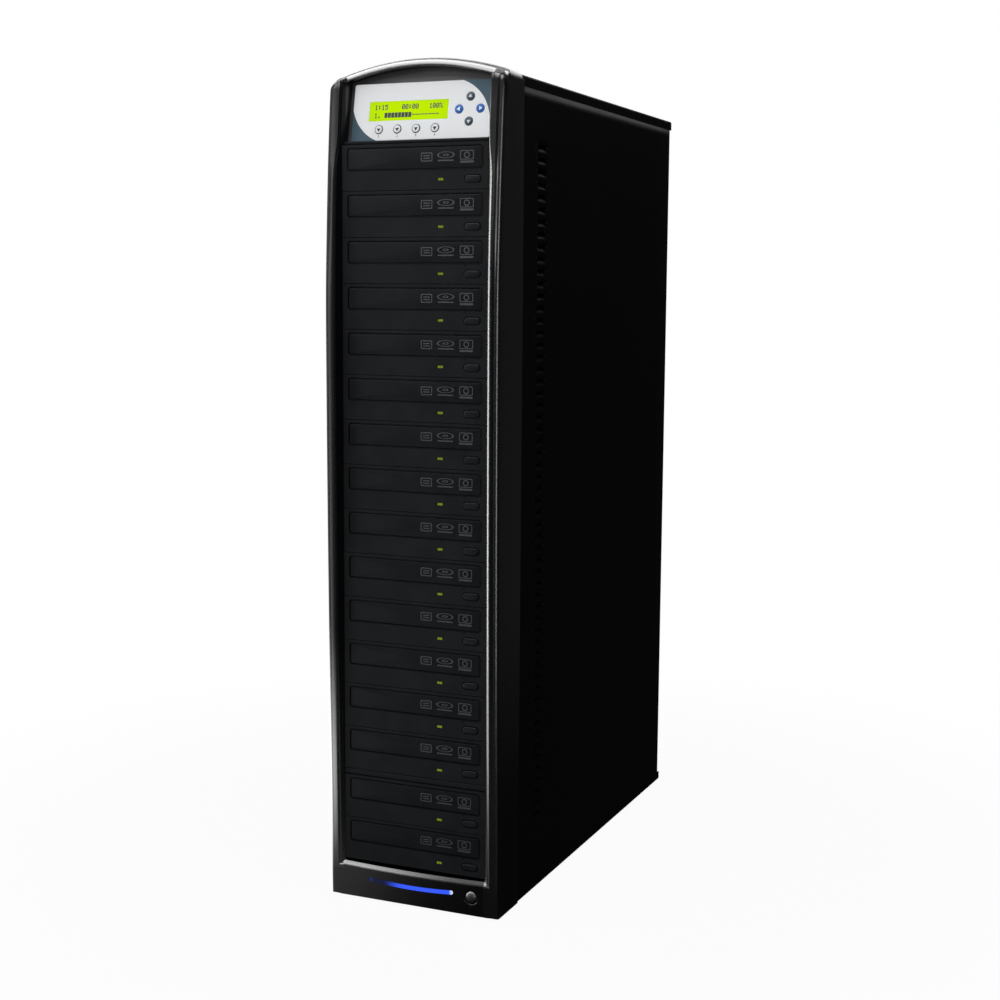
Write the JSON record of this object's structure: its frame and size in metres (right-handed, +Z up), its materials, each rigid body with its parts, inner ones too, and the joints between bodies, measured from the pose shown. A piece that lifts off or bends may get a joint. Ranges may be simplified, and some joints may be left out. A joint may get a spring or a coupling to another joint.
{
  "type": "dvd duplicator",
  "caption": "Tall tower disc duplicator: a bowed bezel holding a stack of half-height drives with sliding trays, a leaning display and key panel, a light bar and a power button.",
  "frame": {"origin": "middle of the case's footprint, on the ground under the feet", "axes": "+Z up, the front with the drives faces -Y, +X to the right when facing the front"},
  "size_m": [0.178, 0.5, 0.8013],
  "materials": {
    "bezel_plastic": "black, satin to gloss",
    "fascia_plastic": "light grey printed panel",
    "display": "backlit yellow-green display",
    "circuit_board": "green board",
    "blue_light": "blue light guide",
    "power_cap": "gloss black",
    "case_steel": "black powder coat",
    "bare_steel": "zinc-plated sheet",
    "drive_plastic": "fine-grained dark plastic",
    "tray_plastic": "fine-grained dark plastic",
    "eject_plastic": "smooth dark plastic",
    "activity_light": "lit yellow-green",
    "foot_rubber": "matt black",
    "socket_plastic": "matt black",
    "fan_plastic": "matt black",
    "navy_key": "smooth navy",
    "blue_key": "smooth blue",
    "white_key": "smooth white"
  },
  "bodies": {
    "case": {"front_bezel": "bezel_plastic", "control_fascia": "fascia_plastic", "lcd_module": "display", "control_board": "circuit_board", "light_bar": "blue_light", "chassis_wrap": "case_steel", "side_panel_left": "case_steel", "side_panel_right": "case_steel", "drive_cage": "bare_steel", "drive_housings": "bare_steel", "drive_faceplates": "drive_plastic", "drive_lights": "activity_light", "feet": "foot_rubber", "psu_housing": "bare_steel", "psu_inlet": "socket_plastic", "fan_frame": "fan_plastic"},
    "tray_01": {"tray_01": "tray_plastic"},
    "tray_02": {"tray_02": "tray_plastic"},
    "tray_03": {"tray_03": "tray_plastic"},
    "tray_04": {"tray_04": "tray_plastic"},
    "tray_05": {"tray_05": "tray_plastic"},
    "tray_06": {"tray_06": "tray_plastic"},
    "tray_07": {"tray_07": "tray_plastic"},
    "tray_08": {"tray_08": "tray_plastic"},
    "tray_09": {"tray_09": "tray_plastic"},
    "tray_10": {"tray_10": "tray_plastic"},
    "tray_11": {"tray_11": "tray_plastic"},
    "tray_12": {"tray_12": "tray_plastic"},
    "tray_13": {"tray_13": "tray_plastic"},
    "tray_14": {"tray_14": "tray_plastic"},
    "tray_15": {"tray_15": "tray_plastic"},
    "tray_16": {"tray_16": "tray_plastic"},
    "eject_button_01": {"eject_button_01": "eject_plastic"},
    "eject_button_02": {"eject_button_02": "eject_plastic"},
    "eject_button_03": {"eject_button_03": "eject_plastic"},
    "eject_button_04": {"eject_button_04": "eject_plastic"},
    "eject_button_05": {"eject_button_05": "eject_plastic"},
    "eject_button_06": {"eject_button_06": "eject_plastic"},
    "eject_button_07": {"eject_button_07": "eject_plastic"},
    "eject_button_08": {"eject_button_08": "eject_plastic"},
    "eject_button_09": {"eject_button_09": "eject_plastic"},
    "eject_button_10": {"eject_button_10": "eject_plastic"},
    "eject_button_11": {"eject_button_11": "eject_plastic"},
    "eject_button_12": {"eject_button_12": "eject_plastic"},
    "eject_button_13": {"eject_button_13": "eject_plastic"},
    "eject_button_14": {"eject_button_14": "eject_plastic"},
    "eject_button_15": {"eject_button_15": "eject_plastic"},
    "eject_button_16": {"eject_button_16": "eject_plastic"},
    "key_up": {"key_up": "navy_key"},
    "key_down": {"key_down": "navy_key"},
    "key_escape": {"key_escape": "blue_key"},
    "key_enter": {"key_enter": "blue_key"},
    "menu_key_1": {"menu_key_1": "white_key"},
    "menu_key_2": {"menu_key_2": "white_key"},
    "menu_key_3": {"menu_key_3": "white_key"},
    "menu_key_4": {"menu_key_4": "white_key"},
    "power_button": {"power_button": "power_cap"},
    "psu_rocker": {"psu_rocker": "socket_plastic"},
    "fan_rotor": {"fan_rotor": "fan_plastic"}
  },
  "joints": [
    {"name": "tray_slide_01", "type": "slide", "parent": "case", "child": "tray_01", "axis": [0, -1, 0], "range_m": [0, 0.14]},
    {"name": "tray_slide_02", "type": "slide", "parent": "case", "child": "tray_02", "axis": [0, -1, 0], "range_m": [0, 0.14]},
    {"name": "tray_slide_03", "type": "slide", "parent": "case", "child": "tray_03", "axis": [0, -1, 0], "range_m": [0, 0.14]},
    {"name": "tray_slide_04", "type": "slide", "parent": "case", "child": "tray_04", "axis": [0, -1, 0], "range_m": [0, 0.14]},
    {"name": "tray_slide_05", "type": "slide", "parent": "case", "child": "tray_05", "axis": [0, -1, 0], "range_m": [0, 0.14]},
    {"name": "tray_slide_06", "type": "slide", "parent": "case", "child": "tray_06", "axis": [0, -1, 0], "range_m": [0, 0.14]},
    {"name": "tray_slide_07", "type": "slide", "parent": "case", "child": "tray_07", "axis": [0, -1, 0], "range_m": [0, 0.14]},
    {"name": "tray_slide_08", "type": "slide", "parent": "case", "child": "tray_08", "axis": [0, -1, 0], "range_m": [0, 0.14]},
    {"name": "tray_slide_09", "type": "slide", "parent": "case", "child": "tray_09", "axis": [0, -1, 0], "range_m": [0, 0.14]},
    {"name": "tray_slide_10", "type": "slide", "parent": "case", "child": "tray_10", "axis": [0, -1, 0], "range_m": [0, 0.14]},
    {"name": "tray_slide_11", "type": "slide", "parent": "case", "child": "tray_11", "axis": [0, -1, 0], "range_m": [0, 0.14]},
    {"name": "tray_slide_12", "type": "slide", "parent": "case", "child": "tray_12", "axis": [0, -1, 0], "range_m": [0, 0.14]},
    {"name": "tray_slide_13", "type": "slide", "parent": "case", "child": "tray_13", "axis": [0, -1, 0], "range_m": [0, 0.14]},
    {"name": "tray_slide_14", "type": "slide", "parent": "case", "child": "tray_14", "axis": [0, -1, 0], "range_m": [0, 0.14]},
    {"name": "tray_slide_15", "type": "slide", "parent": "case", "child": "tray_15", "axis": [0, -1, 0], "range_m": [0, 0.14]},
    {"name": "tray_slide_16", "type": "slide", "parent": "case", "child": "tray_16", "axis": [0, -1, 0], "range_m": [0, 0.14]},
    {"name": "eject_press_01", "type": "slide", "parent": "case", "child": "eject_button_01", "axis": [0, 1, 0], "range_m": [0, 0.001], "stiffness_N_per_m": 200},
    {"name": "eject_press_02", "type": "slide", "parent": "case", "child": "eject_button_02", "axis": [0, 1, 0], "range_m": [0, 0.001], "stiffness_N_per_m": 200},
    {"name": "eject_press_03", "type": "slide", "parent": "case", "child": "eject_button_03", "axis": [0, 1, 0], "range_m": [0, 0.001], "stiffness_N_per_m": 200},
    {"name": "eject_press_04", "type": "slide", "parent": "case", "child": "eject_button_04", "axis": [0, 1, 0], "range_m": [0, 0.001], "stiffness_N_per_m": 200},
    {"name": "eject_press_05", "type": "slide", "parent": "case", "child": "eject_button_05", "axis": [0, 1, 0], "range_m": [0, 0.001], "stiffness_N_per_m": 200},
    {"name": "eject_press_06", "type": "slide", "parent": "case", "child": "eject_button_06", "axis": [0, 1, 0], "range_m": [0, 0.001], "stiffness_N_per_m": 200},
    {"name": "eject_press_07", "type": "slide", "parent": "case", "child": "eject_button_07", "axis": [0, 1, 0], "range_m": [0, 0.001], "stiffness_N_per_m": 200},
    {"name": "eject_press_08", "type": "slide", "parent": "case", "child": "eject_button_08", "axis": [0, 1, 0], "range_m": [0, 0.001], "stiffness_N_per_m": 200},
    {"name": "eject_press_09", "type": "slide", "parent": "case", "child": "eject_button_09", "axis": [0, 1, 0], "range_m": [0, 0.001], "stiffness_N_per_m": 200},
    {"name": "eject_press_10", "type": "slide", "parent": "case", "child": "eject_button_10", "axis": [0, 1, 0], "range_m": [0, 0.001], "stiffness_N_per_m": 200},
    {"name": "eject_press_11", "type": "slide", "parent": "case", "child": "eject_button_11", "axis": [0, 1, 0], "range_m": [0, 0.001], "stiffness_N_per_m": 200},
    {"name": "eject_press_12", "type": "slide", "parent": "case", "child": "eject_button_12", "axis": [0, 1, 0], "range_m": [0, 0.001], "stiffness_N_per_m": 200},
    {"name": "eject_press_13", "type": "slide", "parent": "case", "child": "eject_button_13", "axis": [0, 1, 0], "range_m": [0, 0.001], "stiffness_N_per_m": 200},
    {"name": "eject_press_14", "type": "slide", "parent": "case", "child": "eject_button_14", "axis": [0, 1, 0], "range_m": [0, 0.001], "stiffness_N_per_m": 200},
    {"name": "eject_press_15", "type": "slide", "parent": "case", "child": "eject_button_15", "axis": [0, 1, 0], "range_m": [0, 0.001], "stiffness_N_per_m": 200},
    {"name": "eject_press_16", "type": "slide", "parent": "case", "child": "eject_button_16", "axis": [0, 1, 0], "range_m": [0, 0.001], "stiffness_N_per_m": 200},
    {"name": "key_up_press", "type": "slide", "parent": "case", "child": "key_up", "axis": [0, 0.9836, -0.1805], "range_m": [0, 0.0008], "stiffness_N_per_m": 250},
    {"name": "key_down_press", "type": "slide", "parent": "case", "child": "key_down", "axis": [0, 0.9836, -0.1805], "range_m": [0, 0.0008], "stiffness_N_per_m": 250},
    {"name": "key_escape_press", "type": "slide", "parent": "case", "child": "key_escape", "axis": [0, 0.9836, -0.1805], "range_m": [0, 0.0008], "stiffness_N_per_m": 250},
    {"name": "key_enter_press", "type": "slide", "parent": "case", "child": "key_enter", "axis": [0, 0.9836, -0.1805], "range_m": [0, 0.0008], "stiffness_N_per_m": 250},
    {"name": "menu_key_1_press", "type": "slide", "parent": "case", "child": "menu_key_1", "axis": [0, 0.9836, -0.1805], "range_m": [0, 0.0008], "stiffness_N_per_m": 250},
    {"name": "menu_key_2_press", "type": "slide", "parent": "case", "child": "menu_key_2", "axis": [0, 0.9836, -0.1805], "range_m": [0, 0.0008], "stiffness_N_per_m": 250},
    {"name": "menu_key_3_press", "type": "slide", "parent": "case", "child": "menu_key_3", "axis": [0, 0.9836, -0.1805], "range_m": [0, 0.0008], "stiffness_N_per_m": 250},
    {"name": "menu_key_4_press", "type": "slide", "parent": "case", "child": "menu_key_4", "axis": [0, 0.9836, -0.1805], "range_m": [0, 0.0008], "stiffness_N_per_m": 250},
    {"name": "power_press", "type": "slide", "parent": "case", "child": "power_button", "axis": [0, 1, 0], "range_m": [0, 0.0025], "stiffness_N_per_m": 250},
    {"name": "rocker_tip", "type": "hinge", "parent": "case", "child": "psu_rocker", "pos_m": [0.041, 0.2406, 0.06], "axis": [1, 0, 0], "range_deg": [0, 20]},
    {"name": "fan_spin", "type": "hinge", "parent": "case", "child": "fan_rotor", "pos_m": [0, 0.2315, 0.63483], "axis": [0, 1, 0], "continuous": true}
  ]
}
